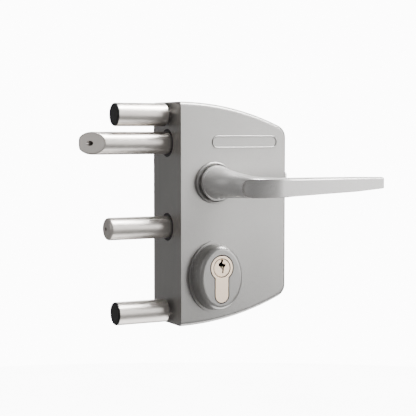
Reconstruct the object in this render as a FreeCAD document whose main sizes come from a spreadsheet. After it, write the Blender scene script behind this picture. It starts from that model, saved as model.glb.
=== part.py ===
import FreeCAD, Part
import math
import os
import re
import Sketcher
from FreeCAD import Rotation, Vector

# Gate lock: a two-shell case with a spring latch, a dead bolt, a double euro cylinder and a lever
# handle on each side. Millimetres. The origin is on the mounting face (x = 0), at mid depth (y = 0)
# and level with the handle spindle (z = 0). +X runs along the lever, the front is -Y, +Z is up.

# Driving sizes

SIZES = {
    "case_width": 85.5,
    "case_depth": 46.0,
    "bow_radius": 200.0,
    "corner_radius": 9.5,
    "edge_round": 3.0,
    "wall": 3.0,
    "cover_depth": 8.0,
    "backset": 26.0,
    "axis_over_nose": 0.525,
    "bush_clear": 0.3,
    "bolt_drop": 32.0,
    "cylinder_under_bolt": 27.5,
    "rosette_margin": 9.1,
    "fixing_inset": 9.0,
    "mount_depth": 40.0,
    "seat_gap": 2.5,
    "sleeve_radius": 8.25,
    "sleeve_bore": 6.9,
    "sleeve_floor": 5.5,
    "fixing_radius": 4.0,
    "fixing_head_radius": 6.5,
    "fixing_head": 8.0,
    "fixing_grip": 14.0,
    "fixing_boss_radius": 7.7,
    "cap_rise": 1.4,
    "cap_depth": 7.0,
    "cap_wall": 1.5,
    "pin_radius": 8.0,
    "latch_reach": 64.5,
    "bolt_reach": 47.3,
    "latch_throw": 20.0,
    "bolt_throw": 20.0,
    "bevel_length": 13.9,
    "bevel_depth": 13.3,
    "nose_round": 1.2,
    "bolt_round": 2.6,
    "bush_radius": 10.0,
    "bush_flange_radius": 12.0,
    "bush_flange": 2.5,
    "bush_length": 8.8,
    "run_gap": 0.05,
    "thread_gap": 0.02,
    "free_gap": 0.3,
    "access_radius": 1.75,
    "bolt_access_radius": 1.3,
    "adjuster_radius": 2.5,
    "spindle_side": 8.0,
    "handle_swing": 40.0,
    "arm_nose_radius": 3.0,
    "arm_neck": 3.2,
    "arm_root": 7.0,
    "arm_depth": 8.0,
    "hub_radius": 11.0,
    "hub_depth": 14.0,
    "spacer_radius": 8.5,
    "spacer_bore": 6.0,
    "slide_depth": 14.0,
    "slide_under": 3.5,
    "slide_over": 6.5,
    "slot_wall": 4.0,
    "rod_radius": 3.0,
    "guide_at": 57.0,
    "guide_thick": 3.0,
    "plate_thick": 2.5,
    "plate_left": 44.0,
    "plate_right": 71.0,
    "plate_over_latch": 7.0,
    "latch_spring_radius": 5.5,
    "latch_spring_wire": 1.2,
    "return_spring_radius": 10.6,
    "return_spring_wire": 1.2,
    "return_spring_turns": 3.0,
    "bolt_shank_end": 29.3,
    "bolt_slide_end": 56.0,
    "bolt_slide_depth": 8.0,
    "lug_left": 26.0,
    "notch_left": 29.4,
    "notch_right": 46.0,
    "lug_right": 52.0,
    "cam_bite": 3.0,
    "cam_clear": 0.5,
    "detent_thick": 0.8,
    "detent_length": 19.0,
    "detent_at": 47.0,
    "detent_arm": 5.0,
    "ring_radius": 14.75,
    "ring_height": 2.4,
    "ring_round": 1.2,
    "ring_neck_radius": 11.0,
    "journal_radius": 9.0,
    "collar_radius": 12.3,
    "collar_gap": 1.6,
    "collar_height": 2.5,
    "neck_width": 23.5,
    "lever_reach": 112.3,
    "lever_stand": 45.3,
    "blade_tip_depth": 6.0,
    "facet_radius": 33.0,
    "facet_bend": 31.0,
    "facet_stand": 44.3,
    "facet_turn": 53.6,
    "facet_end_radius": 6.2,
    "facet_sag": 2.8,
    "facet_drift": 2.8,
    "tip_round": 1.4,
    "tip_top": 3.72,
    "tip_low": 4.60,
    "corner_round": 1.6,
    "socket_depth": 19.0,
    "grub_radius": 2.5,
    "grub_stand": 10.5,
    "rosette_height": 12.0,
    "rosette_drop": 7.2,
    "rosette_base_width": 41.0,
    "rosette_base_height": 50.4,
    "rosette_lip": 1.5,
    "rosette_lip_step": 1.2,
    "rosette_face_width": 33.5,
    "rosette_face_height": 44.0,
    "rosette_round": 3.0,
    "rosette_screw_out": 14.3,
    "profile_radius": 8.5,
    "profile_stem": 10.0,
    "profile_height": 33.0,
    "profile_gap": 0.35,
    "rosette_gap": 0.8,
    "plug_chamfer": 0.7,
    "plug_radius": 6.75,
    "cam_reach": 15.3,
    "cam_width": 8.0,
    "cam_depth": 10.0,
    "cam_gap": 0.3,
    "cam_lean": 30.0,
    "coupler_radius": 3.0,
    "coupler_grip": 2.5,
    "keyway_depth": 26.0,
    "holding_screw_drop": 20.0,
    "holding_screw_radius": 2.5,
    "holding_head_radius": 4.25,
    "holding_head": 5.0,
    "screw_radius": 2.0,
    "screw_head_radius": 3.7,
    "screw_head": 2.4,
    "pillar_radius": 4.0,
    "plaque_width": 53.0,
    "plaque_height": 9.0,
    "plaque_rise": 0.75,
    "plaque_out": 24.7,
    "plaque_line": 1.0,
    "plaque_proud": 0.6,
    "plaque_round": 0.48,
}

doc = FreeCAD.newDocument("gate_lock")
sheet = doc.addObject("Spreadsheet::Sheet", "Sizes")
for row, (alias, value) in enumerate(SIZES.items(), start=1):
    sheet.set("A%d" % row, alias)
    sheet.set("B%d" % row, str(value))
    sheet.setAlias("B%d" % row, alias)
doc.recompute()

NODES = []


# Shared helpers

def bound(formula):
    """A formula of size names as an expression on the sheet's cells."""
    return re.sub(r"[a-z_]{3,}", lambda m: "Sizes." + m.group(0) if m.group(0) in SIZES else m.group(0), formula)


def num(formula):
    return float(sheet.evalExpression(bound(formula)))


def tie(obj, prop, formula):
    obj.setExpression(prop, bound(formula))


def node(obj, name):
    obj.Label = name
    NODES.append(obj)
    return obj


def new_body(name):
    return doc.addObject("PartDesign::Body", name + "_body")


def new_sketch(body, name, role, place):
    """A sketch on one of the body's origin planes, shifted by three formulas in the plane's own axes."""
    plane = [feature for feature in body.Origin.OriginFeatures if feature.Role == role][0]
    sketch = body.newObject("Sketcher::SketchObject", name)
    sketch.AttachmentSupport = (plane, [""])
    sketch.MapMode = "FlatFace"
    for letter, formula in zip("xyz", place):
        tie(sketch, "AttachmentOffset.Base." + letter, formula)
    return sketch


def fix_point(sketch, shape, end, across, up):
    for kind, formula in (("DistanceX", across), ("DistanceY", up)):
        index = sketch.addConstraint(Sketcher.Constraint(kind, -1, 1, shape, end, num(formula)))
        tie(sketch, "Constraints[%d]" % index, formula)


def fix_radius(sketch, shape, formula):
    index = sketch.addConstraint(Sketcher.Constraint("Radius", shape, num(formula)))
    tie(sketch, "Constraints[%d]" % index, formula)


def add_circle(sketch, across, up, radius):
    centre = Vector(num(across), num(up), 0)
    shape = sketch.addGeometry(Part.Circle(centre, Vector(0, 0, 1), num(radius)))
    fix_point(sketch, shape, 3, across, up)
    fix_radius(sketch, shape, radius)


def add_polygon(sketch, points):
    corners = [Vector(num(across), num(up), 0) for across, up in points]
    count = len(corners)
    first = sketch.GeometryCount
    for index in range(count):
        sketch.addGeometry(Part.LineSegment(corners[index], corners[(index + 1) % count]))
    for index in range(count):
        after = first + (index + 1) % count
        sketch.addConstraint(Sketcher.Constraint("Coincident", first + index, 2, after, 1))
    for index, (across, up) in enumerate(points):
        fix_point(sketch, first + index, 1, across, up)


def add_box(sketch, left, low, right, high):
    add_polygon(sketch, ((left, low), (right, low), (right, high), (left, high)))


def arc_between(centre, radius, start, end):
    circle = Part.Circle(centre, Vector(0, 0, 1), radius)
    first = math.atan2(start.y - centre.y, start.x - centre.x)
    last = math.atan2(end.y - centre.y, end.x - centre.x)
    if last < first:
        last += 2 * math.pi
    return Part.ArcOfCircle(circle, first, last)


def pad(body, name, sketch, length, back=False, middle=False):
    feature = body.newObject("PartDesign::Pad", name)
    feature.Profile = sketch
    feature.Midplane = middle
    feature.Reversed = back
    tie(feature, "Length", length)
    sketch.Visibility = False
    return feature


def pocket(body, name, sketch, length, back=False, middle=False):
    """A cut that must remove material, measured on the body's volume."""
    doc.recompute()
    before = body.Shape.Volume
    feature = body.newObject("PartDesign::Pocket", name)
    feature.Profile = sketch
    feature.Midplane = middle
    feature.Reversed = back
    tie(feature, "Length", length)
    doc.recompute()
    if body.Shape.Volume >= before:
        raise ValueError(name + " cuts nothing")
    return feature


def spin(body, name, sketch):
    feature = body.newObject("PartDesign::Revolution", name)
    feature.Profile = sketch
    feature.ReferenceAxis = (sketch, ["H_Axis"])
    feature.Angle = 360.0
    return feature


def round_edges(body, name, base, radius, chosen):
    """A fillet on the edges of base that pass the test."""
    doc.recompute()
    edges = ["Edge%d" % (i + 1) for i, edge in enumerate(base.Shape.Edges) if chosen(edge)]
    feature = body.newObject("PartDesign::Fillet", name)
    feature.Base = (base, edges)
    tie(feature, "Radius", radius)
    return feature


def in_plane(axis, value):
    """Edges that lie wholly in one plane square to an axis of the body."""
    low, high = axis.upper() + "Min", axis.upper() + "Max"

    def test(edge):
        box = edge.BoundBox
        return abs(getattr(box, low) - value) < 1e-4 and abs(getattr(box, high) - value) < 1e-4

    return test


def turned_x(name, height, points):
    """A body turned about the X direction at a height; points are (along x, radius)."""
    body = new_body(name)
    sketch = new_sketch(body, name + "_profile", "XZ_Plane", ("0", height, "0"))
    add_polygon(sketch, points)
    spin(body, name + "_turn", sketch)
    return body


def turned_y(name, across, height, points):
    """A body turned about the Y direction at a place and height; points are (along y, radius)."""
    body = new_body(name)
    sketch = new_sketch(body, name + "_profile", "YZ_Plane", ("0", height, across))
    add_polygon(sketch, points)
    spin(body, name + "_turn", sketch)
    return body


TURN = {
    "x": Rotation(Vector(0, 1, 0), 90),
    "y": Rotation(Vector(1, 0, 0), -90),
    "z": Rotation(),
}


def place(obj, at):
    for letter, formula in zip("xyz", at):
        tie(obj, "Placement.Base." + letter, formula)


def rod(name, axis, radius, length, at):
    """A cylinder that starts at a point and runs along +axis."""
    obj = doc.addObject("Part::Cylinder", name)
    tie(obj, "Radius", radius)
    tie(obj, "Height", length)
    obj.Placement = FreeCAD.Placement(Vector(), TURN[axis])
    place(obj, at)
    return obj


def block(name, size, at):
    """A box given by its three sizes and its lowest corner."""
    obj = doc.addObject("Part::Box", name)
    for prop, formula in zip(("Length", "Width", "Height"), size):
        tie(obj, prop, formula)
    place(obj, at)
    return obj


def hexagon(name, axis, radius, length, at):
    obj = doc.addObject("Part::Prism", name)
    obj.Polygon = 6
    tie(obj, "Circumradius", radius)
    tie(obj, "Height", length)
    obj.Placement = FreeCAD.Placement(Vector(), TURN[axis])
    place(obj, at)
    return obj


def fuse(name, *parts):
    obj = doc.addObject("Part::MultiFuse", name)
    obj.Shapes = list(parts)
    obj.Refine = True
    return obj


def cut(name, base, *tools):
    tool = tools[0] if len(tools) == 1 else fuse(name + "_tools", *tools)
    obj = doc.addObject("Part::Cut", name)
    obj.Base = base
    obj.Tool = tool
    return obj


def group(name, *parts):
    """Identical loose pieces kept as separate solids of one sub-part."""
    obj = doc.addObject("Part::Compound", name)
    obj.Links = list(parts)
    return obj


# Case outline: straight mounting edge, bowed top and bottom, rounded corners on the far side

def case_outline(sketch, inset):
    radius = "(bow_radius - %s)" % inset
    corner = "(corner_radius - %s)" % inset
    width = "(case_width - %s)" % inset
    bow = num(radius)
    small = num(corner)
    right = num(width)
    left = num(inset)
    rise = num(CASE_HEIGHT + " / 2 - bow_radius")
    corner_x = right - small
    corner_y = rise + math.sqrt((bow - small) ** 2 - corner_x ** 2)
    bow_centre = Vector(0, rise, 0)
    corner_centre = Vector(corner_x, corner_y, 0)
    joint = bow_centre + (corner_centre - bow_centre) * (bow / (bow - small))
    start = Vector(left, rise + math.sqrt(bow ** 2 - left ** 2), 0)
    end = Vector(right, corner_y, 0)

    def low(point):
        return Vector(point.x, -point.y, 0)

    sketch.addGeometry(Part.LineSegment(start, low(start)))
    sketch.addGeometry(arc_between(low(bow_centre), bow, low(start), low(joint)))
    sketch.addGeometry(arc_between(low(corner_centre), small, low(joint), low(end)))
    sketch.addGeometry(Part.LineSegment(low(end), end))
    sketch.addGeometry(arc_between(corner_centre, small, end, joint))
    sketch.addGeometry(arc_between(bow_centre, bow, joint, start))
    for first, second in ((0, 1), (5, 0)):
        sketch.addConstraint(Sketcher.Constraint("Coincident", first, 2, second, 1))
    for first, second in ((1, 2), (2, 3), (3, 4), (4, 5)):
        sketch.addConstraint(Sketcher.Constraint("Tangent", first, 2, second, 1))
    for side in (0, 3):
        sketch.addConstraint(Sketcher.Constraint("Vertical", side))
    fix_point_x(sketch, 0, inset)
    fix_point_x(sketch, 3, width)
    fix_point(sketch, 1, 3, "0", "bow_radius - %s / 2" % CASE_HEIGHT)
    fix_point(sketch, 5, 3, "0", CASE_HEIGHT + " / 2 - bow_radius")
    for bow_arc in (1, 5):
        fix_radius(sketch, bow_arc, radius)
    for corner_arc in (2, 4):
        fix_radius(sketch, corner_arc, corner)


def fix_point_x(sketch, shape, formula):
    index = sketch.addConstraint(Sketcher.Constraint("DistanceX", -1, 1, shape, 1, num(formula)))
    tie(sketch, "Constraints[%d]" % index, formula)


# Euro cylinder profile about the plug's axis, grown by a clearance

def cylinder_profile(sketch, grow):
    radius = "(profile_radius + %s)" % grow
    half = "(profile_stem / 2 + %s)" % grow
    foot = "(profile_radius + profile_stem / 2 - profile_height)"
    big = num(radius)
    small = num(half)
    level = num(foot)
    neck = -math.sqrt(big ** 2 - small ** 2)
    top_right = Vector(small, neck, 0)
    top_left = Vector(-small, neck, 0)
    low_left = Vector(-small, level, 0)
    low_right = Vector(small, level, 0)
    sketch.addGeometry(arc_between(Vector(), big, top_right, top_left))
    sketch.addGeometry(Part.LineSegment(top_left, low_left))
    sketch.addGeometry(arc_between(Vector(0, level, 0), small, low_left, low_right))
    sketch.addGeometry(Part.LineSegment(low_right, top_right))
    sketch.addConstraint(Sketcher.Constraint("Coincident", 0, 2, 1, 1))
    sketch.addConstraint(Sketcher.Constraint("Tangent", 1, 2, 2, 1))
    sketch.addConstraint(Sketcher.Constraint("Tangent", 2, 2, 3, 1))
    sketch.addConstraint(Sketcher.Constraint("Coincident", 3, 2, 0, 1))
    for side in (1, 3):
        sketch.addConstraint(Sketcher.Constraint("Vertical", side))
    fix_point(sketch, 0, 3, "0", "0")
    fix_point(sketch, 2, 3, "0", foot)
    fix_radius(sketch, 0, radius)
    fix_radius(sketch, 2, half)


def add_ellipse(sketch, width, height):
    """An upright ellipse about the sketch's origin."""
    half_width = num(width) / 2
    half_height = num(height) / 2
    first = sketch.GeometryCount
    sketch.addGeometry(Part.Ellipse(Vector(0, half_height, 0), Vector(-half_width, 0, 0), Vector()))
    sketch.exposeInternalGeometry(first)
    sketch.addConstraint(Sketcher.Constraint("Coincident", first, 3, -1, 1))
    sketch.addConstraint(Sketcher.Constraint("Vertical", first + 1))
    for line, formula in ((first + 1, height), (first + 2, width)):
        index = sketch.addConstraint(Sketcher.Constraint("Distance", line, num(formula)))
        tie(sketch, "Constraints[%d]" % index, formula)


def add_slot(sketch, width, height):
    """A stadium about the sketch's origin, longer across than up."""
    radius = num(height) / 2
    reach = num(width) / 2 - radius
    half = "((%s) / 2)" % height
    first = sketch.GeometryCount
    right = Vector(reach, 0, 0)
    left = Vector(-reach, 0, 0)
    lift = Vector(0, radius, 0)
    sketch.addGeometry(arc_between(right, radius, right - lift, right + lift))
    sketch.addGeometry(Part.LineSegment(right + lift, left + lift))
    sketch.addGeometry(arc_between(left, radius, left + lift, left - lift))
    sketch.addGeometry(Part.LineSegment(left - lift, right - lift))
    for index in range(4):
        after = first + (index + 1) % 4
        sketch.addConstraint(Sketcher.Constraint("Tangent", first + index, 2, after, 1))
    fix_point(sketch, first, 3, "(%s) / 2 - %s" % (width, half), "0")
    fix_point(sketch, first + 2, 3, "%s - (%s) / 2" % (half, width), "0")
    fix_radius(sketch, first, half)


# Named places

FRONT = "(-case_depth / 2)"
REAR = "(case_depth / 2)"
SPLIT = "(cover_depth - case_depth / 2)"
INNER_REAR = "(case_depth / 2 - wall)"
ARM_REACH = "(latch_throw / 2 / sin(handle_swing / 2))"
LATCH_Z = "(%s * cos(handle_swing / 2) + axis_over_nose)" % ARM_REACH
BOLT_Z = "(-bolt_drop)"
PLUG_Z = "(-bolt_drop - cylinder_under_bolt)"
ROSETTE_Z = "(%s - rosette_drop)" % PLUG_Z
LOW = "(%s - rosette_base_height / 2 - rosette_margin)" % ROSETTE_Z
FIXING_Z = ("(%s + bush_flange_radius + bush_clear + fixing_boss_radius)" % LATCH_Z,
            "(%s + fixing_inset)" % LOW)
TOP = "(%s + fixing_inset)" % FIXING_Z[0]
CASE_HEIGHT = "(%s - %s)" % (TOP, LOW)
CASE_MIDDLE = "((%s + %s) / 2)" % (TOP, LOW)
CYLINDER_HALF = "(case_depth / 2 + rosette_height)"
HOLDING_Z = "(%s - holding_screw_drop)" % PLUG_Z
LUG_LOW = "(%s + cam_reach - cam_bite)" % PLUG_Z
NOTCH_ROOF = "(%s + cam_reach + cam_clear)" % PLUG_Z
HOLE = "(adjuster_radius + thread_gap)"


def on_face(body, name, depth, across="0", up="0"):
    """A sketch square to Y at a depth; its own axes are X and Z."""
    return new_sketch(body, name, "XZ_Plane", (across, up, "-(%s)" % depth))


def on_side(body, name, distance):
    """A sketch square to X at a distance from the mounting face; its own axes are Y and Z."""
    return new_sketch(body, name, "YZ_Plane", ("0", "0", distance))


# Cover screw places: distance from the mounting face, and height
PILLARS = (
    ("case_width - 23.5", LATCH_Z + " + plate_over_latch + pillar_radius + 0.5"),
    ("case_width - 9.5", "-4"),
    ("backset + 19", HOLDING_Z + " - holding_screw_radius - pillar_radius - 2.5"),
    ("8.5", LATCH_Z + " - bush_flange_radius - pillar_radius - 1"),
    ("8", ROSETTE_Z + " - 9.3"),
)
PLATE_SCREW_X = "(plate_right - 5)"
PLATE_SCREWS = ("12", "-16")


# Shells of the case

def rear_housing():
    body = new_body("rear_housing")
    outline = on_face(body, "housing_outline", REAR, up=CASE_MIDDLE)
    case_outline(outline, "0")
    shell = pad(body, "housing_pad", outline, "case_depth - cover_depth")
    far_edge = in_plane("y", num(REAR))
    shell = round_edges(body, "housing_round", shell, "edge_round",
                        lambda edge: far_edge(edge) and edge.BoundBox.XMax > 1)
    hollow = on_face(body, "housing_hollow_outline", SPLIT, up=CASE_MIDDLE)
    case_outline(hollow, "wall")
    pocket(body, "housing_hollow", hollow, "case_depth - cover_depth - wall")

    pillars = on_face(body, "pillar_sketch", SPLIT)
    for across, up in PILLARS:
        add_circle(pillars, across, up, "pillar_radius")
    pad(body, "pillar_pad", pillars, "case_depth - cover_depth - wall / 2", back=True)
    bosses = on_side(body, "fixing_boss_sketch", "wall / 2")
    for height in FIXING_Z:
        add_circle(bosses, "0", height, "fixing_boss_radius")
    pad(body, "fixing_boss_pad", bosses, "fixing_grip + 2 - wall / 2")
    holder = on_side(body, "holding_boss_sketch", "case_width - wall / 2")
    add_circle(holder, "0", HOLDING_Z, "holding_head_radius + 2")
    pad(body, "holding_boss_pad", holder, "holding_head + 4", back=True)

    bores = on_side(body, "bush_bore_sketch", "0")
    add_circle(bores, "0", LATCH_Z, "bush_radius + thread_gap")
    add_circle(bores, "0", BOLT_Z, "bush_radius + thread_gap")
    pocket(body, "bush_bores", bores, "wall + 1", back=True)
    threads = on_side(body, "fixing_thread_sketch", "0")
    for height in FIXING_Z:
        add_circle(threads, "0", height, "fixing_radius + thread_gap")
    pocket(body, "fixing_threads", threads, "fixing_grip + 1", back=True)
    recess = on_side(body, "holding_recess_sketch", "case_width")
    add_circle(recess, "0", HOLDING_Z, "holding_head_radius + free_gap")
    pocket(body, "holding_recess", recess, "holding_head + 1.5")
    passage = on_side(body, "holding_passage_sketch", "case_width")
    add_circle(passage, "0", HOLDING_Z, "holding_screw_radius + free_gap / 2")
    pocket(body, "holding_passage", passage, "holding_head + 10")

    heads = on_face(body, "cover_head_sketch", REAR)
    shanks = on_face(body, "cover_shank_sketch", REAR)
    for across, up in PILLARS:
        add_circle(heads, across, up, "screw_head_radius + free_gap")
        add_circle(shanks, across, up, "screw_radius + free_gap / 2")
    pocket(body, "cover_heads", heads, "screw_head + 0.2", back=True)
    pocket(body, "cover_shanks", shanks, "case_depth", back=True)
    opening = on_face(body, "rear_handle_hole_sketch", INNER_REAR)
    add_circle(opening, "backset", "0", "ring_neck_radius + thread_gap")
    pocket(body, "rear_handle_hole", opening, "wall + 1")
    profile = on_face(body, "rear_cylinder_hole_sketch", INNER_REAR, "backset", PLUG_Z)
    cylinder_profile(profile, "profile_gap")
    pocket(body, "rear_cylinder_hole", profile, "wall + 1")
    rosette = on_face(body, "rear_rosette_hole_sketch", INNER_REAR, "backset", ROSETTE_Z)
    for side in ("-rosette_screw_out", "rosette_screw_out"):
        add_circle(rosette, side, "0", "screw_radius + free_gap / 2")
    pocket(body, "rear_rosette_holes", rosette, "wall + 1")
    plate = on_face(body, "plate_thread_sketch", INNER_REAR)
    for up in PLATE_SCREWS:
        add_circle(plate, PLATE_SCREW_X, up, "screw_radius + thread_gap")
    pocket(body, "plate_threads", plate, "wall - 1")
    return node(body, "rear_housing")


def front_cover():
    body = new_body("front_cover")
    outline = on_face(body, "cover_outline", SPLIT, up=CASE_MIDDLE)
    case_outline(outline, "0")
    shell = pad(body, "cover_pad", outline, "cover_depth")
    near_edge = in_plane("y", num(FRONT))
    shell = round_edges(body, "cover_round", shell, "edge_round",
                        lambda edge: near_edge(edge) and edge.BoundBox.XMax > 1)
    hollow = on_face(body, "cover_hollow_outline", SPLIT, up=CASE_MIDDLE)
    case_outline(hollow, "wall")
    pocket(body, "cover_hollow", hollow, "cover_depth - wall", back=True)
    bosses = on_face(body, "cover_boss_sketch", SPLIT)
    threads = on_face(body, "cover_thread_sketch", SPLIT)
    for across, up in PILLARS:
        add_circle(bosses, across, up, "pillar_radius")
        add_circle(threads, across, up, "screw_radius + thread_gap")
    pad(body, "cover_boss_pad", bosses, "cover_depth - wall / 2")
    pocket(body, "cover_threads", threads, "cover_depth - wall / 2", back=True)
    opening = on_face(body, "front_handle_hole_sketch", FRONT)
    add_circle(opening, "backset", "0", "ring_neck_radius + thread_gap")
    pocket(body, "front_handle_hole", opening, "wall + 1")
    profile = on_face(body, "front_cylinder_hole_sketch", FRONT, "backset", PLUG_Z)
    cylinder_profile(profile, "profile_gap")
    pocket(body, "front_cylinder_hole", profile, "wall + 1")
    rosette = on_face(body, "front_rosette_hole_sketch", FRONT, "backset", ROSETTE_Z)
    for side in ("-rosette_screw_out", "rosette_screw_out"):
        add_circle(rosette, side, "0", "screw_radius + free_gap / 2")
    pocket(body, "front_rosette_holes", rosette, "wall + 1")
    plaque = on_face(body, "plaque_sketch", FRONT + " + wall / 2", "backset + plaque_out",
                     LATCH_Z + " + plaque_rise")
    add_slot(plaque, "plaque_width", "plaque_height")
    add_slot(plaque, "plaque_width - 2 * plaque_line", "plaque_height - 2 * plaque_line")
    ridge = pad(body, "plaque_pad", plaque, "plaque_proud + wall / 2")
    round_edges(body, "plaque_ridge", ridge, "plaque_round", in_plane("y", num(FRONT + " - plaque_proud")))
    return node(body, "front_cover")


# Fasteners of the case

def socket_screw(name, axis, towards, head_at, across, radius, head_radius, head, shank):
    """A socket head screw: the head's seat lies at head_at and the shank runs towards +1 or -1."""
    start = "(%s)" % head_at
    head_low = "%s - (%s)" % (start, head) if towards > 0 else start
    shank_low = start if towards > 0 else "%s - (%s)" % (start, shank)
    socket_low = head_low if towards > 0 else "%s + (%s) / 2" % (start, head)

    def at(along):
        spots = {"x": (along, across[0], across[1]), "y": (across[0], along, across[1])}
        return spots[axis]

    cap = rod(name + "_head", axis, head_radius, head, at(head_low))
    stem = rod(name + "_shank", axis, radius, shank, at(shank_low))
    key = hexagon(name + "_key", axis, "(%s) * 0.6" % head_radius, "(%s) / 2" % head, at(socket_low))
    return cut(name, fuse(name + "_blank", cap, stem), key)


def cover_screws():
    screws = []
    for index, (across, up) in enumerate(PILLARS):
        screws.append(socket_screw("cover_screw_%d" % index, "y", -1, REAR + " - screw_head - 0.2",
                                   (across, up), "screw_radius", "screw_head_radius", "screw_head",
                                   "case_depth - screw_head - wall"))
    return node(group("cover_screws", *screws), "cover_screws")


def rosette_screws():
    screws = []
    for index, side in enumerate(("-rosette_screw_out", "rosette_screw_out")):
        spot = ("backset " + ("- rosette_screw_out" if index == 0 else "+ rosette_screw_out"), ROSETTE_Z)
        screws.append(socket_screw("front_rosette_screw_%d" % index, "y", -1, FRONT + " + wall", spot,
                                   "screw_radius", "screw_head_radius", "screw_head", "wall + 7"))
        screws.append(socket_screw("rear_rosette_screw_%d" % index, "y", 1, INNER_REAR, spot,
                                   "screw_radius", "screw_head_radius", "screw_head", "wall + 7"))
    return node(group("rosette_screws", *screws), "rosette_screws")


def cylinder_screw():
    reach = "case_width - 1.5 - holding_head"
    screw = socket_screw("cylinder_screw_solid", "x", -1, reach, ("0", HOLDING_Z), "holding_screw_radius",
                         "holding_head_radius", "holding_head", reach + " - backset + profile_stem / 2 + 1")
    return node(screw, "cylinder_screw")


def fixing_screws():
    screws = []
    for index, height in enumerate(FIXING_Z):
        screws.append(socket_screw("fixing_screw_%d" % index, "x", 1, "-seat_gap - sleeve_floor",
                                   ("0", height), "fixing_radius", "fixing_head_radius", "fixing_head",
                                   "seat_gap + sleeve_floor + fixing_grip"))
    return node(group("fixing_screws", *screws), "fixing_screws")


def fixing_sleeves():
    sleeves = []
    for index, height in enumerate(FIXING_Z):
        shell = rod("sleeve_%d_outside" % index, "x", "sleeve_radius", "mount_depth - seat_gap",
                    ("-mount_depth", "0", height))
        bore = rod("sleeve_%d_bore" % index, "x", "sleeve_bore", "mount_depth - seat_gap - sleeve_floor",
                   ("-mount_depth", "0", height))
        hole = rod("sleeve_%d_hole" % index, "x", "fixing_radius + free_gap", "mount_depth",
                   ("-mount_depth", "0", height))
        sleeves.append(cut("fixing_sleeve_%d" % index, shell, bore, hole))
    return node(group("fixing_sleeves", *sleeves), "fixing_sleeves")


def hole_caps():
    caps = []
    for index, height in enumerate(FIXING_Z):
        stem = "sleeve_bore - run_gap"
        body = turned_x("hole_cap_%d" % index, height, (
            ("-mount_depth - cap_rise", "0"),
            ("-mount_depth - cap_rise", "sleeve_radius - run_gap"),
            ("-mount_depth", "sleeve_radius - run_gap"),
            ("-mount_depth", stem),
            ("cap_depth - mount_depth", stem),
            ("cap_depth - mount_depth", stem + " - cap_wall"),
            ("cap_wall - mount_depth", stem + " - cap_wall"),
            ("cap_wall - mount_depth", "0"),
        ))
        crown = in_plane("x", num("-mount_depth - cap_rise"))
        round_edges(body, "hole_cap_%d_round" % index, body.Tip, "cap_rise - 0.1", crown)
        caps.append(body)
    return node(group("hole_caps", *caps), "hole_caps")


# Bushes that guide the two bolts

def guide_bush(name, height, sleeve):
    """A flanged bush in the mounting side; the latch's has a sleeve behind the flange."""
    inner = "pin_radius + run_gap"
    points = [
        ("0.2", inner),
        ("0.2", "bush_radius"),
        ("wall", "bush_radius"),
        ("wall", "bush_flange_radius"),
        ("wall + bush_flange", "bush_flange_radius"),
    ]
    if sleeve:
        points.append(("wall + bush_flange", "bush_radius"))
        points.append(("bush_length", "bush_radius"))
        points.append(("bush_length", inner))
    else:
        points.append(("wall + bush_flange", inner))
    return node(turned_x(name, height, points), name)


# Mechanism plate: base, two uprights that guide the rods, and its screws

def mechanism_plate():
    base_y = INNER_REAR + " - plate_thick"
    low = BOLT_Z + " - 8"
    base = block("plate_base", ("plate_right - plate_left", "plate_thick",
                                "%s + plate_over_latch - (%s)" % (LATCH_Z, low)),
                 ("plate_left", base_y, low))
    reach = INNER_REAR + " - plate_thick / 2 + 8"
    latch_guide = block("latch_guide", ("guide_thick", reach, "2 * plate_over_latch"),
                        ("guide_at", "-8", LATCH_Z + " - plate_over_latch"))
    bolt_guide = block("bolt_guide", ("guide_thick", reach, "15"), ("guide_at", "-8", BOLT_Z + " - 7.5"))
    latch_hole = rod("latch_guide_hole", "x", "rod_radius + 2 * run_gap", "guide_thick + 2",
                     ("guide_at - 1", "0", LATCH_Z))
    bolt_hole = rod("bolt_guide_hole", "x", "rod_radius + 2 * run_gap", "guide_thick + 2",
                    ("guide_at - 1", "0", BOLT_Z))
    screw_holes = [rod("plate_hole_%d" % i, "y", "screw_radius + free_gap / 2", "plate_thick + 2",
                       (PLATE_SCREW_X, base_y + " - 1", up)) for i, up in enumerate(PLATE_SCREWS)]
    blank = fuse("plate_blank", base, latch_guide, bolt_guide)
    return node(cut("plate_solid", blank, latch_hole, bolt_hole, *screw_holes), "mechanism_plate")


def mechanism_screws():
    screws = [socket_screw("mechanism_screw_%d" % i, "y", 1, INNER_REAR + " - plate_thick",
                           (PLATE_SCREW_X, up), "screw_radius", "screw_head_radius", "screw_head",
                           "plate_thick + wall - 1.2") for i, up in enumerate(PLATE_SCREWS)]
    return node(group("mechanism_screws", *screws), "mechanism_screws")


def detent_spring():
    """A leaf over the dead bolt's slide, carried on the mechanism plate."""
    level = BOLT_Z + " + pin_radius + free_gap"
    leaf = block("detent_leaf", ("detent_length", "bolt_slide_depth", "detent_thick"),
                 ("detent_at + detent_arm - detent_length", "-bolt_slide_depth / 2", level))
    arm = block("detent_arm", ("detent_arm", INNER_REAR + " - plate_thick - bolt_slide_depth / 2", "detent_thick"),
                ("detent_at", "bolt_slide_depth / 2", level))
    foot = block("detent_foot", ("detent_arm", "detent_thick", "6"),
                 ("detent_at", INNER_REAR + " - plate_thick - detent_thick", level))
    return node(fuse("detent_solid", leaf, arm, foot), "dead_bolt_detent_spring")


# Rings behind the levers

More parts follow.
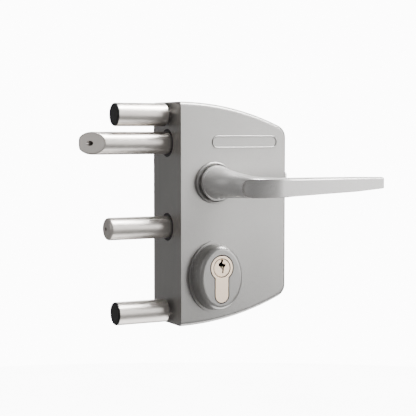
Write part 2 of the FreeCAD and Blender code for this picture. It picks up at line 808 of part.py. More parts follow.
def handle_bush(name, sign):
    def depth(formula):
        return "%s * (case_depth / 2 %s)" % (sign, formula)

    inner = "journal_radius + run_gap"
    body = turned_y(name, "backset", "0", (
        (depth("+ ring_height"), inner),
        (depth("+ ring_height"), "ring_radius"),
        (depth(""), "ring_radius"),
        (depth(""), "ring_neck_radius"),
        (depth("- wall - 0.5"), "ring_neck_radius"),
        (depth("- wall - 0.5"), inner),
    ))
    doc.recompute()
    crown = in_plane("y", num(depth("+ ring_height")))
    round_edges(body, name + "_round", body.Tip, "ring_round",
                lambda edge: crown(edge) and edge.BoundBox.XLength > num("ring_radius + journal_radius"))
    return node(body, name)


# Oval rosettes round the cylinder

def cylinder_rosette(name, front):
    body = new_body(name)
    seat = FRONT if front else REAR
    out = "-" if front else "+"

    def oval(label, height, width, tall):
        sketch = on_face(body, name + label, "%s %s (%s)" % (seat, out, height), "backset", ROSETTE_Z)
        add_ellipse(sketch, width, tall)
        return sketch

    lip = oval("_lip", "0", "rosette_base_width", "rosette_base_height")
    pad(body, name + "_lip_pad", lip, "rosette_lip", back=not front)
    doc.recompute()
    foot = oval("_foot", "0", "rosette_base_width - 2 * rosette_lip_step",
                "rosette_base_height - 2 * rosette_lip_step")
    face = oval("_face", "rosette_height", "rosette_face_width", "rosette_face_height")
    dome = body.newObject("PartDesign::AdditiveLoft", name + "_dome")
    dome.Profile = foot
    dome.Sections = [face]
    dome.Ruled = True
    crown = in_plane("y", num("%s %s rosette_height" % (seat, out)))
    round_edges(body, name + "_round", dome, "rosette_round", crown)
    profile = on_face(body, name + "_opening_sketch", seat, "backset", PLUG_Z)
    cylinder_profile(profile, "rosette_gap")
    pocket(body, name + "_opening", profile, "rosette_height + 1", back=front)
    threads = on_face(body, name + "_thread_sketch", seat, "backset", ROSETTE_Z)
    for side in ("-rosette_screw_out", "rosette_screw_out"):
        add_circle(threads, side, "0", "screw_radius + thread_gap")
    pocket(body, name + "_threads", threads, "7.5", back=front)
    return node(body, name)


# Double cylinder

def cylinder_body():
    body = new_body("cylinder_body")
    profile = on_face(body, "cylinder_profile_sketch", CYLINDER_HALF, "backset", PLUG_Z)
    cylinder_profile(profile, "0")
    pad(body, "cylinder_pad", profile, "2 * " + CYLINDER_HALF)
    bore = on_face(body, "plug_bore_sketch", CYLINDER_HALF, "backset", PLUG_Z)
    add_circle(bore, "0", "0", "plug_radius + run_gap")
    pocket(body, "plug_bore", bore, "2 * " + CYLINDER_HALF, back=True)
    gap = on_face(body, "cam_gap_sketch", "0", "backset", PLUG_Z)
    add_box(gap, "-profile_radius - 1", "-cam_reach - 0.4", "profile_radius + 1", "profile_radius + 1")
    pocket(body, "cam_gap", gap, "cam_depth + 2 * cam_gap", middle=True)
    thread = on_side(body, "holding_thread_sketch", "backset + profile_stem")
    add_circle(thread, "0", HOLDING_Z, "holding_screw_radius + thread_gap")
    pocket(body, "holding_thread", thread, "2 * profile_stem")
    return node(body, "cylinder_body")


KEYWAY = ((-0.7, 6.0), (0.9, 6.0), (1.1, 4.7), (0.4, 3.6), (1.4, 2.7), (2.9, 2.9), (2.9, 1.6), (1.4, -0.3),
          (1.2, -3.8), (0.2, -3.8), (0.1, -1.0), (-1.2, 0.3), (-2.6, 1.8), (-2.6, 3.4), (-1.3, 4.1), (-0.6, 4.5))


def cylinder_plug(name, sign):
    def depth(formula):
        return "%s * (%s)" % (sign, formula)

    end = CYLINDER_HALF + " - 0.15"
    inside = "cam_depth / 2 + cam_gap"
    body = turned_y(name, "backset", PLUG_Z, (
        (depth(end), "0"),
        (depth(end), "plug_radius - plug_chamfer"),
        (depth(end + " - plug_chamfer"), "plug_radius"),
        (depth(inside), "plug_radius"),
        (depth(inside), "coupler_radius + 2 * run_gap"),
        (depth(inside + " + coupler_grip"), "coupler_radius + 2 * run_gap"),
        (depth(inside + " + coupler_grip"), "0"),
    ))
    keyway = on_face(body, name + "_keyway_sketch", depth(end), "backset", PLUG_Z)
    add_polygon(keyway, [(str(across * -int(sign)), str(up)) for across, up in KEYWAY])
    pocket(body, name + "_keyway", keyway, "keyway_depth", back=sign == "1")
    return node(body, name)


def cylinder_cam():
    disc = rod("cam_disc", "y", "profile_radius - 0.2", "cam_depth", ("0", "-cam_depth / 2", "0"))
    nose = block("cam_nose", ("cam_width", "cam_depth", "cam_reach + 1"),
                 ("-cam_width / 2", "-cam_depth / 2", "0"))
    sweep = rod("cam_sweep", "y", "cam_reach", "cam_depth", ("0", "-cam_depth / 2", "0"))
    tip = doc.addObject("Part::Common", "cam_tip")
    tip.Base = nose
    tip.Tool = sweep
    hole = rod("cam_hole", "y", "coupler_radius + run_gap", "cam_depth + 2", ("0", "-cam_depth / 2 - 1", "0"))
    cam = cut("cam_solid", fuse("cam_blank", disc, tip), hole)
    cam.Placement = FreeCAD.Placement(Vector(), Rotation(Vector(0, 1, 0), 180))
    tie(cam, "Placement.Rotation.Angle", "180 + cam_lean")
    place(cam, ("backset", "0", PLUG_Z))
    return node(cam, "cylinder_cam")


def plug_coupler():
    half = "cam_depth / 2 + cam_gap + coupler_grip - run_gap"
    solid = rod("coupler_solid", "y", "coupler_radius", "2 * (%s)" % half, ("backset", "-(%s)" % half, PLUG_Z))
    return node(solid, "plug_coupler")


# Latch: bevelled head, slide with the follower's slot, adjusting screw and spring

SLOT_X = "(backset - latch_throw / 2)"
SLOT_HALF = "(arm_nose_radius + 0.25)"
SLIDE_START = "(%s - %s - slot_wall + 0.55)" % (SLOT_X, SLOT_HALF)
SLIDE_END = "(%s + %s + slot_wall)" % (SLOT_X, SLOT_HALF)
ROD_END = "(guide_at + guide_thick + 1)"
ADJUSTER_IN = "(%s + slot_wall - 0.8)" % SLIDE_START


def latch_head():
    body = turned_x("latch_head", LATCH_Z, (
        ("-latch_reach", "access_radius"),
        ("-latch_reach", "pin_radius"),
        (SLIDE_START, "pin_radius"),
        (SLIDE_START, HOLE),
        ("-latch_reach / 2", HOLE),
        ("-latch_reach / 2", "access_radius"),
    ))
    bevel = new_sketch(body, "bevel_sketch", "XY_Plane", ("0", "0", LATCH_Z))
    add_polygon(bevel, (
        ("bevel_length * 1.2 - latch_reach", "-pin_radius - bevel_depth * 0.2"),
        ("-bevel_length * 0.2 - latch_reach", "bevel_depth * 1.2 - pin_radius"),
        ("-bevel_length * 0.2 - latch_reach", "-pin_radius - bevel_depth * 0.2"),
    ))
    slope = pocket(body, "bevel", bevel, "2 * pin_radius + 2", middle=True)
    past = num("bevel_length + 0.1 - latch_reach")
    round_edges(body, "latch_nose", slope, "nose_round",
                lambda edge: edge.BoundBox.XMax < past and edge.BoundBox.ZLength > num("2 * access_radius + 1"))
    return node(body, "latch_head")


def latch_slide():
    depth = "slide_depth"
    frame = block("slide_frame", (SLIDE_END + " - " + SLIDE_START, depth, "slide_over + slide_under"),
                  (SLIDE_START, "-slide_depth / 2", LATCH_Z + " - slide_under"))
    tail = rod("slide_rod", "x", "rod_radius", ROD_END + " - " + SLIDE_END + " + 1",
               (SLIDE_END + " - 1", "0", LATCH_Z))
    slot = block("slide_slot", ("2 * " + SLOT_HALF, "slide_depth + 2", ARM_REACH + " + arm_nose_radius + 0.36"),
                 (SLOT_X + " - " + SLOT_HALF, "-slide_depth / 2 - 1", "0"))
    bore = rod("slide_bore", "x", HOLE, "slot_wall", (SLIDE_START + " - 0.5", "0", LATCH_Z))
    return node(cut("latch_slide_solid", fuse("slide_blank", frame, tail), slot, bore), "latch_slide")


def adjusting_screw(name, start, end, height):
    stem = rod(name + "_stem", "x", "adjuster_radius", "%s - (%s)" % (end, start), (start, "0", height))
    key = hexagon(name + "_key", "x", "adjuster_radius / 2", "3", (start, "0", height))
    return node(cut(name + "_solid", stem, key), name)


def latch_spring():
    start = SLIDE_END
    length = "guide_at - " + SLIDE_END
    outside = rod("latch_spring_outside", "x", "latch_spring_radius", length, (start, "0", LATCH_Z))
    inside = rod("latch_spring_inside", "x", "latch_spring_radius - latch_spring_wire", length,
                 (start, "0", LATCH_Z))
    return node(cut("latch_spring_solid", outside, inside), "latch_spring")


# Handle: spindle, follower with its arm, spacers, return spring and the two levers

def follower_hub():
    wheel = rod("hub_wheel", "y", "hub_radius", "hub_depth", ("0", "-hub_depth / 2", "0"))
    root = block("hub_arm_root", ("arm_root", "arm_depth", "hub_radius + 5"),
                 ("-arm_root / 2", "-arm_depth / 2", "0"))
    neck = block("hub_arm_neck", ("arm_neck", "arm_depth", ARM_REACH),
                 ("-arm_neck / 2", "-arm_depth / 2", "0"))
    nose = rod("hub_arm_nose", "y", "arm_nose_radius", "arm_depth", ("0", "-arm_depth / 2", ARM_REACH))
    blank = fuse("hub_blank", wheel, root, neck, nose)
    blank.Placement = FreeCAD.Placement(Vector(), Rotation(Vector(0, -1, 0), 20))
    tie(blank, "Placement.Rotation.Angle", "handle_swing / 2")
    place(blank, ("backset", "0", "0"))
    side = "(spindle_side + 2 * run_gap)"
    socket = block("hub_socket", (side, "hub_depth + 2", side),
                   ("backset - %s / 2" % side, "-hub_depth / 2 - 1", "-%s / 2" % side))
    return node(cut("hub_solid", blank, socket), "follower_hub")


def spindle():
    half = INNER_REAR + " + socket_depth - 1"
    solid = block("spindle_solid", ("spindle_side", "2 * (%s)" % half, "spindle_side"),
                  ("backset - spindle_side / 2", "-(%s)" % half, "-spindle_side / 2"))
    return node(solid, "spindle")


JOURNAL_IN = "(case_depth / 2 - wall - 0.5)"


def hub_spacers():
    length = JOURNAL_IN + " - hub_depth / 2 - 2 * run_gap"
    spacers = []
    for index, start in enumerate(("hub_depth / 2 + run_gap", "-" + JOURNAL_IN + " + run_gap")):
        outside = rod("spacer_%d_outside" % index, "y", "spacer_radius", length, ("backset", start, "0"))
        inside = rod("spacer_%d_bore" % index, "y", "spacer_bore", length, ("backset", start, "0"))
        spacers.append(cut("spacer_%d" % index, outside, inside))
    return node(group("hub_spacers", *spacers), "hub_spacers")


def return_spring():
    length = "2.2 * return_spring_turns * return_spring_wire / 2"
    start = "-hub_depth / 2 - 0.3 - (%s)" % length
    outside = rod("return_spring_outside", "y", "return_spring_radius", length, ("backset", start, "0"))
    inside = rod("return_spring_inside", "y", "return_spring_radius - return_spring_wire", length,
                 ("backset", start, "0"))
    return node(cut("return_spring_solid", outside, inside), "follower_return_spring")


def grub_screws():
    screws = []
    for index, sign in enumerate(("-1", "1")):
        stand = "%s * (case_depth / 2 + grub_stand)" % sign
        stem = rod("grub_%d_stem" % index, "z", "grub_radius", "5.5",
                   ("backset", stand, "-spindle_side / 2 - 0.05 - 5.5"))
        key = hexagon("grub_%d_key" % index, "z", "grub_radius / 2", "2.5",
                      ("backset", stand, "-spindle_side / 2 - 0.05 - 5.5"))
        screws.append(cut("grub_%d" % index, stem, key))
    return node(group("lever_grub_screws", *screws), "lever_grub_screws")


# Stations of the lever's run before its face is cut. Each row has the place along the reach and out from
# the collar as shares of the reach and the stand, the turn of the run from straight out in degrees, then
# the half sizes to the front, rear, top and bottom as shares of the neck's width, and last how square the
# section is at its front top, front low, rear low and rear top: 0.55 is round and 1 is nearly a corner.
LEVER_BEND = (
    (0.000, 0.000, 0, 0.500, 0.500, 0.500, 0.500, 0.55, 0.55, 0.55, 0.55),
    (0.009, 0.098, 14, 0.460, 0.460, 0.457, 0.462, 0.58, 0.58, 0.58, 0.58),
    (0.028, 0.218, 27, 0.417, 0.413, 0.409, 0.434, 0.64, 0.66, 0.61, 0.61),
    (0.059, 0.337, 35, 0.389, 0.379, 0.340, 0.423, 0.70, 0.76, 0.66, 0.66),
    (0.098, 0.467, 40, 0.377, 0.353, 0.268, 0.419, 0.78, 0.90, 0.70, 0.69),
    (0.132, 0.584, 46, 0.391, 0.353, 0.221, 0.417, 0.84, 1.00, 0.74, 0.70),
    (0.168, 0.696, 56, 0.306, 0.349, 0.200, 0.413, 0.80, 1.00, 0.78, 0.72),
    (0.218, 0.768, 70, 0.257, 0.323, 0.191, 0.404, 0.72, 1.00, 0.81, 0.75),
    (0.276, 0.799, 81, 0.245, 0.294, 0.183, 0.400, 0.64, 1.00, 0.84, 0.77),
)
LEVER_BLADE = (
    (0.338, 0.811, 85, 0.219, 0.255, 0.181, 0.385, 0.60, 1.00, 0.85, 0.78),
    (0.570, 0.847, 87, 0.206, 0.191, 0.179, 0.330, 0.60, 1.00, 0.86, 0.78),
    (0.801, 0.894, 87, 0.179, 0.164, 0.174, 0.277, 0.60, 1.00, 0.86, 0.78),
    (1.033, 0.940, 87, 0.149, 0.132, 0.153, 0.179, 0.60, 1.00, 0.86, 0.78),
)


def lever_section(centre, turn, halves, squareness):
    """A closed smooth section square to the lever's run, one curve a quarter."""
    angle = math.radians(turn)
    side = Vector(-math.cos(angle), -math.sin(angle), 0)
    front, rear, top, low = halves
    front_top, front_low, rear_low, rear_top = squareness
    quarters = ((front, -low, front_low), (-rear, -low, rear_low), (-rear, top, rear_top), (front, top, front_top))
    edges = []
    for index, (wide, tall, square) in enumerate(quarters):
        across = side * wide
        rise = Vector(0, 0, tall)
        poles = [across, across + rise * square, across * square + rise, rise]
        if index % 2:
            poles.reverse()
        curve = Part.BezierCurve()
        curve.setPoles([centre + pole for pole in poles])
        edges.append(curve.toShape())
    return Part.Wire(edges)


def lever_blank():
    """The lever without its cut face, socket and grub screw hole: journal, collar, swept neck and blade."""
    base = -num("case_depth / 2 + ring_height + collar_gap")
    foot = base - num("collar_height")
    across = num("backset")
    reach = num("lever_reach")
    stand = num("case_depth / 2 + lever_stand") + foot + num("blade_tip_depth / 2")
    neck = num("neck_width")
    stations = []
    for along, out, turn, *rest in LEVER_BEND + LEVER_BLADE:
        centre = Vector(across + along * reach, foot - out * stand, 0)
        stations.append(lever_section(centre, turn, [share * neck for share in rest[:4]], rest[4:]))
    shared = len(LEVER_BEND)
    bend = Part.makeLoft(stations[:shared + 1], True, False, False, 3)
    blade = Part.makeLoft(stations[shared:], True, True)
    collar = Part.makeCylinder(num("collar_radius"), base - foot, Vector(across, foot, 0), Vector(0, 1, 0))
    journal = Part.makeCylinder(num("journal_radius"), -num(JOURNAL_IN) - base + 0.5,
                                Vector(across, base - 0.5, 0), Vector(0, 1, 0))
    return bend.fuse([blade, collar, journal])


def lever_face_cutter():
    """The space in front of the lever's face and past its tip: an arc round the bend, a straight run and a
    rounded tip, as seen from above, and a half round start as seen along the face's normal."""
    radius = num("facet_radius")
    small = num("tip_round")
    end = num("facet_end_radius")
    turn = math.radians(num("facet_turn"))
    drift = math.radians(num("facet_drift"))
    bend = Vector(num("backset + facet_bend"), -num("case_depth / 2 + facet_stand"), 0)
    out = Vector(-math.sin(drift), -math.cos(drift), 0)
    along = Vector(math.cos(drift), -math.sin(drift), 0)
    centre = bend - out * radius

    def facing(angle):
        return Vector(-math.sin(angle), -math.cos(angle), 0)

    def on_arc(angle):
        return centre + facing(angle) * radius

    room = 25
    start = on_arc(turn)
    tip = bend + along * ((num("lever_reach - facet_bend")) / math.cos(drift))
    before = tip - along * small
    corner = before - out * small
    below = tip - out * small
    past = below - out * room
    edges = [
        Part.Arc(start, on_arc((turn + drift) / 2), bend).toShape(),
        Part.LineSegment(bend, before).toShape(),
        Part.Arc(before, corner + (out + along) * (small * math.sqrt(0.5)), below).toShape(),
        Part.LineSegment(below, past).toShape(),
        Part.LineSegment(past, past + along * room).toShape(),
        Part.LineSegment(past + along * room, tip + (along + out) * room).toShape(),
        Part.LineSegment(tip + (along + out) * room, start + facing(turn) * room).toShape(),
        Part.LineSegment(start + facing(turn) * room, start).toShape(),
    ]
    face = Part.Face(Part.Wire(edges))
    face.translate(Vector(0, 0, -room))
    space = face.extrude(Vector(0, 0, 2 * room))
    middle = turn - end / radius
    normal = facing(middle)
    tangent = Vector(-normal.y, normal.x, 0)
    seat = on_arc(middle) - normal * 5 - Vector(0, 0, num("facet_sag"))
    round_end = Part.makeCylinder(end, 2 * room, seat, normal)
    reach = num("lever_reach") + room
    low, high = [seat - normal * reach + Vector(0, 0, rise) for rise in (-room, end)]
    rest = Part.Face(Part.makePolygon([low, low + tangent * reach, high + tangent * reach, high, low]))
    blade = Part.makeBox(reach, 2 * reach, 2 * room, Vector(bend.x, -reach, -room))
    return space.common(round_end.fuse([rest.extrude(normal * 2 * reach), blade]))


def tip_corners():
    """What is cut from the tip's upper and lower corner, seen from the front."""
    radius = num("corner_round")
    across = num("backset + lever_reach - corner_round")
    depth = num("case_depth + 2 * lever_stand")
    corners = []
    for level, way in ((num("tip_top"), 1), (-num("tip_low"), -1)):
        centre = Vector(across, -depth, level - way * radius)
        square = Part.makeBox(2 * radius, depth, 2 * radius, centre + Vector(0, 0, min(0, way) * 2 * radius))
        corners.append(square.cut(Part.makeCylinder(radius, depth, centre, Vector(0, 1, 0))))
    return corners


def lever_shape():
    across = num("backset")
    side = num("spindle_side + 2 * run_gap")
    inner = -num(INNER_REAR)
    depth = num("socket_depth")
    socket = Part.makeBox(side, depth + 2, side, Vector(across - side / 2, inner - depth, -side / 2))
    stand = -num("case_depth / 2 + grub_stand")
    side_wall = num("neck_width")
    grub = Part.makeCylinder(num("grub_radius + thread_gap"), side_wall, Vector(across, stand, -side_wall),
                             Vector(0, 0, 1))
    return lever_blank().cut([lever_face_cutter(), socket, grub] + tip_corners())


def levers():
    shape = lever_shape()
    front = doc.addObject("Part::Feature", "front_lever_solid")
    front.Shape = shape
    node(front, "front_lever")
    rear = doc.addObject("Part::Feature", "rear_lever_solid")
    rear.Shape = shape.mirror(Vector(), Vector(0, 1, 0))
    node(rear, "rear_lever")


# Dead bolt: round head, slide with the cam's notch, adjusting screw

BOLT_ADJUSTER_IN = "(bolt_shank_end + 7)"


def dead_bolt_head():
    body = turned_x("dead_bolt_head", BOLT_Z, (
        ("-bolt_reach", "bolt_access_radius"),
        ("-bolt_reach", "pin_radius"),
        ("bolt_shank_end", "pin_radius"),
        ("bolt_shank_end", HOLE),
        ("0", HOLE),
        ("0", "bolt_access_radius"),
    ))
    nose = in_plane("x", num("-bolt_reach"))
    round_edges(body, "dead_bolt_round", body.Tip, "bolt_round",
                lambda edge: nose(edge) and edge.BoundBox.YLength > num("2 * bolt_access_radius + 1"))
    return node(body, "dead_bolt_head")


def dead_bolt_slide():
    body = new_body("dead_bolt_slide")
    sketch = on_face(body, "dead_bolt_slide_sketch", "bolt_slide_depth / 2")
    top = BOLT_Z + " + pin_radius"
    ledge = BOLT_Z + " - pin_radius - free_gap"
    add_polygon(sketch, (
        ("bolt_shank_end", top),
        ("bolt_shank_end", ledge),
        ("lug_left", ledge),
        ("lug_left", LUG_LOW),
        ("notch_left", LUG_LOW),
        ("notch_left", NOTCH_ROOF),
        ("notch_right", NOTCH_ROOF),
        ("notch_right", LUG_LOW),
        ("lug_right", LUG_LOW),
        ("lug_right", NOTCH_ROOF),
        ("bolt_slide_end", NOTCH_ROOF),
        ("bolt_slide_end", top),
    ))
    pad(body, "dead_bolt_slide_pad", sketch, "bolt_slide_depth")
    end = on_side(body, "dead_bolt_rod_sketch", "bolt_slide_end - 1")
    add_circle(end, "0", BOLT_Z, "rod_radius")
    pad(body, "dead_bolt_rod_pad", end, "bolt_throw + guide_thick + 2")
    bore = on_side(body, "dead_bolt_bore_sketch", "bolt_shank_end")
    add_circle(bore, "0", BOLT_Z, HOLE)
    pocket(body, "dead_bolt_bore", bore, BOLT_ADJUSTER_IN + " - bolt_shank_end + 0.3", back=True)
    return node(body, "dead_bolt_slide")


rear_housing()
front_cover()
cover_screws()
guide_bush("latch_guide_bush", LATCH_Z, True)
guide_bush("dead_bolt_guide_bush", BOLT_Z, False)
handle_bush("front_handle_bush", "-1")
handle_bush("rear_handle_bush", "1")
cylinder_rosette("front_cylinder_rosette", True)
cylinder_rosette("rear_cylinder_rosette", False)
rosette_screws()
mechanism_plate()
mechanism_screws()
detent_spring()
cylinder_body()
cylinder_screw()
cylinder_plug("front_plug", "-1")
cylinder_plug("rear_plug", "1")
cylinder_cam()
plug_coupler()
fixing_screws()
fixing_sleeves()
hole_caps()
levers()
spindle()
follower_hub()
hub_spacers()
return_spring()
grub_screws()
latch_head()
latch_slide()
adjusting_screw("latch_adjusting_screw", "(-latch_reach / 2)", ADJUSTER_IN, LATCH_Z)
latch_spring()
dead_bolt_head()
dead_bolt_slide()
adjusting_screw("dead_bolt_adjusting_screw", "0", BOLT_ADJUSTER_IN, BOLT_Z)

# Every object and shape is sound before anything is written

doc.recompute()
for obj in doc.Objects:
    if "Invalid" in obj.State or "Error" in obj.State:
        raise ValueError("failed object: " + obj.Name)
for obj in NODES:
    if obj.Shape.isNull() or not obj.Shape.isValid():
        raise ValueError("unsound shape: " + obj.Label)

os.makedirs("parts", exist_ok=True)
for obj in NODES:
    obj.Shape.exportStep("parts/%s.step" % obj.Label)
    print("%-28s solids %d  volume %.1f" % (obj.Label, len(obj.Shape.Solids), obj.Shape.Volume))
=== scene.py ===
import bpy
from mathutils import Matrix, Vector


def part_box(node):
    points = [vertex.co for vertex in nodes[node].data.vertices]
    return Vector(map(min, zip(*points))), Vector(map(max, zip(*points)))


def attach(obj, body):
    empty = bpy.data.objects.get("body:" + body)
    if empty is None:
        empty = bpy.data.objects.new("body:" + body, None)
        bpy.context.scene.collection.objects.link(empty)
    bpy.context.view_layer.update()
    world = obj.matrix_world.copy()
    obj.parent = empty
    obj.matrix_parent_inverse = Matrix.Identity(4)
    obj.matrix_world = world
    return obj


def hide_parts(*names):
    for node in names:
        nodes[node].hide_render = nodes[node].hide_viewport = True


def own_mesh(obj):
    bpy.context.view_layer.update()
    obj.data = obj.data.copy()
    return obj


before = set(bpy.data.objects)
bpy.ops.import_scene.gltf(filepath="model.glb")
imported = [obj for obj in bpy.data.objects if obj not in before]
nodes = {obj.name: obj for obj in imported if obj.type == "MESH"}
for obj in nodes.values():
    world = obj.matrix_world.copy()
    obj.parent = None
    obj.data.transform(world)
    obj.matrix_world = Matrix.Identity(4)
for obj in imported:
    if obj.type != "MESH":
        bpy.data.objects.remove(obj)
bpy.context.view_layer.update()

import math

import bmesh
import bpy
from mathutils import Matrix, Vector

scene = bpy.context.scene
MM = 0.001


# Node materials

class Graph:
    """A new material with short calls for its shader nodes."""

    def __init__(self, name):
        self.material = bpy.data.materials.new(name)
        self.material.use_nodes = True
        self.tree = self.material.node_tree
        self.tree.nodes.clear()
        self.shader = self.add("ShaderNodeBsdfPrincipled")
        output = self.add("ShaderNodeOutputMaterial")
        self.link(self.shader.outputs["BSDF"], output.inputs["Surface"])
        self.coords = self.add("ShaderNodeTexCoord").outputs["Object"]

    def add(self, kind, **settings):
        node = self.tree.nodes.new(kind)
        for key, value in settings.items():
            setattr(node, key, value)
        return node

    def link(self, source, target):
        self.tree.links.new(source, target)

    def stretched(self, scale):
        node = self.add("ShaderNodeMapping")
        self.link(self.coords, node.inputs["Vector"])
        node.inputs["Scale"].default_value = scale
        return node.outputs["Vector"]

    def noise(self, scale, detail=3.0, rough=0.5, vector=None):
        node = self.add("ShaderNodeTexNoise")
        self.link(vector or self.coords, node.inputs["Vector"])
        node.inputs["Scale"].default_value = scale
        node.inputs["Detail"].default_value = detail
        node.inputs["Roughness"].default_value = rough
        return node.outputs["Fac"]

    def spread(self, source, low, high, start, end):
        """The source's range from start to end, mapped to low to high."""
        node = self.add("ShaderNodeMapRange")
        self.link(source, node.inputs["Value"])
        for name, value in (("From Min", start), ("From Max", end), ("To Min", low), ("To Max", high)):
            node.inputs[name].default_value = value
        return node.outputs["Result"]

    def ramp(self, source, stops):
        node = self.add("ShaderNodeValToRGB")
        self.link(source, node.inputs["Fac"])
        ramp = node.color_ramp
        while len(ramp.elements) < len(stops):
            ramp.elements.new(0.5)
        for element, (position, colour) in zip(ramp.elements, stops):
            element.position = position
            element.color = (*colour, 1.0)
        return node.outputs["Color"]

    def bump(self, height, strength, distance):
        node = self.add("ShaderNodeBump")
        self.link(height, node.inputs["Height"])
        node.inputs["Strength"].default_value = strength
        node.inputs["Distance"].default_value = distance
        return node.outputs["Normal"]

    def set(self, **sockets):
        """Links outputs to the shader's sockets, and writes plain values into them."""
        for name, value in sockets.items():
            socket = self.shader.inputs[name.replace("_", " ")]
            if hasattr(value, "is_output"):
                self.link(value, socket)
            else:
                socket.default_value = value


def shade(colour, factor):
    return tuple(min(1.0, channel * factor) for channel in colour)


def hazed(g, colour, stain):
    """The colour under a faint haze."""
    haze = g.noise(scale=45.0, detail=2.0, rough=0.5)
    return g.ramp(haze, (
        (0.30, shade(colour, 1.0 - stain)),
        (0.60, colour),
        (0.85, shade(colour, 1.0 + stain)),
    ))


def bright_metal(g, tone, rough):
    """Bare metal of this tone with hairline scratches."""
    hairs = g.noise(scale=1.0, detail=3.0, rough=0.7, vector=g.stretched((300.0, 300.0, 3800.0)))
    g.set(Base_Color=tone, Metallic=1.0,
          Roughness=g.spread(hairs, rough - 0.05, rough + 0.07, 0.3, 0.7),
          Normal=g.bump(hairs, strength=0.08, distance=0.03 * MM))


FLAKE_SHARE = 0.45


def coated_metal(name, colour, metallic, rough):
    """Metal under a satin powder coat: a soft cloud of tone, fine flakes and a barely rippled skin."""
    g = Graph(name)
    cloud = g.noise(scale=30.0, detail=3.0, rough=0.5)
    flakes = g.noise(scale=3200.0, detail=2.0, rough=0.7)
    mix = g.add("ShaderNodeMath", operation="MULTIPLY_ADD")
    g.link(flakes, mix.inputs[0])
    mix.inputs[1].default_value = FLAKE_SHARE
    g.link(cloud, mix.inputs[2])
    tone = g.ramp(mix.outputs[0], ((0.35, shade(colour, 0.94)), (0.72, colour), (1.0, shade(colour, 1.05))))
    ripple = g.noise(scale=1100.0, detail=2.0, rough=0.5)
    g.set(Base_Color=tone, Metallic=metallic, IOR=1.45,
          Roughness=g.spread(flakes, rough - 0.05, rough + 0.06, 0.25, 0.75),
          Normal=g.bump(ripple, strength=0.08, distance=0.05 * MM))
    return g.material


def turned_steel(name, colour, rough, axis):
    """Bare steel with fine tool lines round the axis that it was turned on."""
    g = Graph(name)
    scale = [60.0, 60.0, 60.0]
    scale[axis] = 4200.0
    lines = g.noise(scale=1.0, detail=4.0, rough=0.7, vector=g.stretched(scale))
    cloud = g.noise(scale=40.0, detail=3.0, rough=0.5)
    tone = g.ramp(cloud, ((0.30, shade(colour, 0.93)), (0.55, colour), (0.80, shade(colour, 1.05))))
    g.set(Base_Color=tone, Metallic=1.0,
          Roughness=g.spread(lines, rough - 0.05, rough + 0.08, 0.3, 0.7),
          Normal=g.bump(lines, strength=0.12, distance=0.03 * MM))
    return g.material


def plain_steel(name, colour, rough, stain):
    """Bright metal with a faint haze and hairline scratches."""
    g = Graph(name)
    bright_metal(g, hazed(g, colour, stain), rough)
    return g.material


def cylinder_metal_painted_gap_shade(name, colour, rough, face, depth, gap_shade_share):
    """Plated metal with painted shade: its own tone on the end faces at y = +face and -face, and a painted
    dark shade in the gap behind them, where the real metal is the same.
    The tone fades over most of depth, down to the given share of the colour for the painted gap shade."""
    g = Graph(name)
    split = g.add("ShaderNodeSeparateXYZ")
    g.link(g.coords, split.inputs[0])
    distance = g.add("ShaderNodeMath", operation="ABSOLUTE")
    g.link(split.outputs["Y"], distance.inputs[0])
    # Painted shade: behind the end faces the colour fades to a dark tone that stands in for the shade in the
    # gap.
    mix = g.add("ShaderNodeMix", data_type="RGBA")
    g.link(g.spread(distance.outputs[0], 0.0, 1.0, face - depth, face - 0.3 * depth), mix.inputs["Factor"])
    mix.inputs[6].default_value = (*shade(colour, gap_shade_share), 1.0)
    g.link(hazed(g, colour, 0.03), mix.inputs[7])
    bright_metal(g, mix.outputs[2], rough)
    return g.material


def moulded(name, colour, rough):
    """Moulded plastic with an even grain."""
    g = Graph(name)
    grain = g.noise(scale=1500.0, detail=3.0, rough=0.6)
    cloud = g.noise(scale=60.0, detail=3.0, rough=0.5)
    tone = g.ramp(cloud, ((0.30, shade(colour, 0.75)), (0.60, colour), (0.90, shade(colour, 1.35))))
    g.set(Base_Color=tone, IOR=1.48,
          Roughness=g.spread(grain, rough - 0.08, rough + 0.08, 0.3, 0.7),
          Normal=g.bump(grain, strength=0.20, distance=0.08 * MM))
    return g.material


CYLINDER_FACE = max(abs(corner.y) for corner in map(Vector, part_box("cylinder_body")))
PLUG_FACE = max(abs(corner.y) for corner in map(Vector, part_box("front_plug")))
# Depth behind the end faces over which the painted gap shade fades in.
GAP_SHADE_DEPTH = 0.30 * MM
NICKEL = (1.0, 0.80, 0.62)

case_coat = coated_metal("case_coat", (0.355, 0.348, 0.337), metallic=0.75, rough=0.30)
lever_coat = coated_metal("lever_coat", (0.600, 0.589, 0.576), metallic=0.65, rough=0.30)
bolt_steel = turned_steel("bolt_steel", (0.68, 0.64, 0.60), rough=0.34, axis=0)
inner_steel = plain_steel("inner_steel", (0.52, 0.51, 0.50), rough=0.36, stain=0.10)
screw_steel = plain_steel("screw_steel", (0.56, 0.55, 0.54), rough=0.30, stain=0.08)
inner_nickel = plain_steel("nickel", (0.98, 0.87, 0.76), rough=0.30, stain=0.03)
# Painted shade: the cylinder body is painted near-black in the gap behind its end faces, and the plugs
# darker on their chamfers.
body_nickel_painted_shade = cylinder_metal_painted_gap_shade("cylinder_nickel", NICKEL, 0.30, CYLINDER_FACE, GAP_SHADE_DEPTH, gap_shade_share=0.06)
plug_nickel_painted_shade = cylinder_metal_painted_gap_shade("plug_nickel_painted_shade", NICKEL, 0.30, PLUG_FACE, GAP_SHADE_DEPTH, gap_shade_share=0.25)
pin_brass = plain_steel("pin_brass", (0.50, 0.44, 0.34), rough=0.32, stain=0.08)
bush_plastic = moulded("bush_plastic", (0.022, 0.022, 0.023), rough=0.50)
cap_plastic = moulded("cap_plastic", (0.010, 0.010, 0.011), rough=0.50)

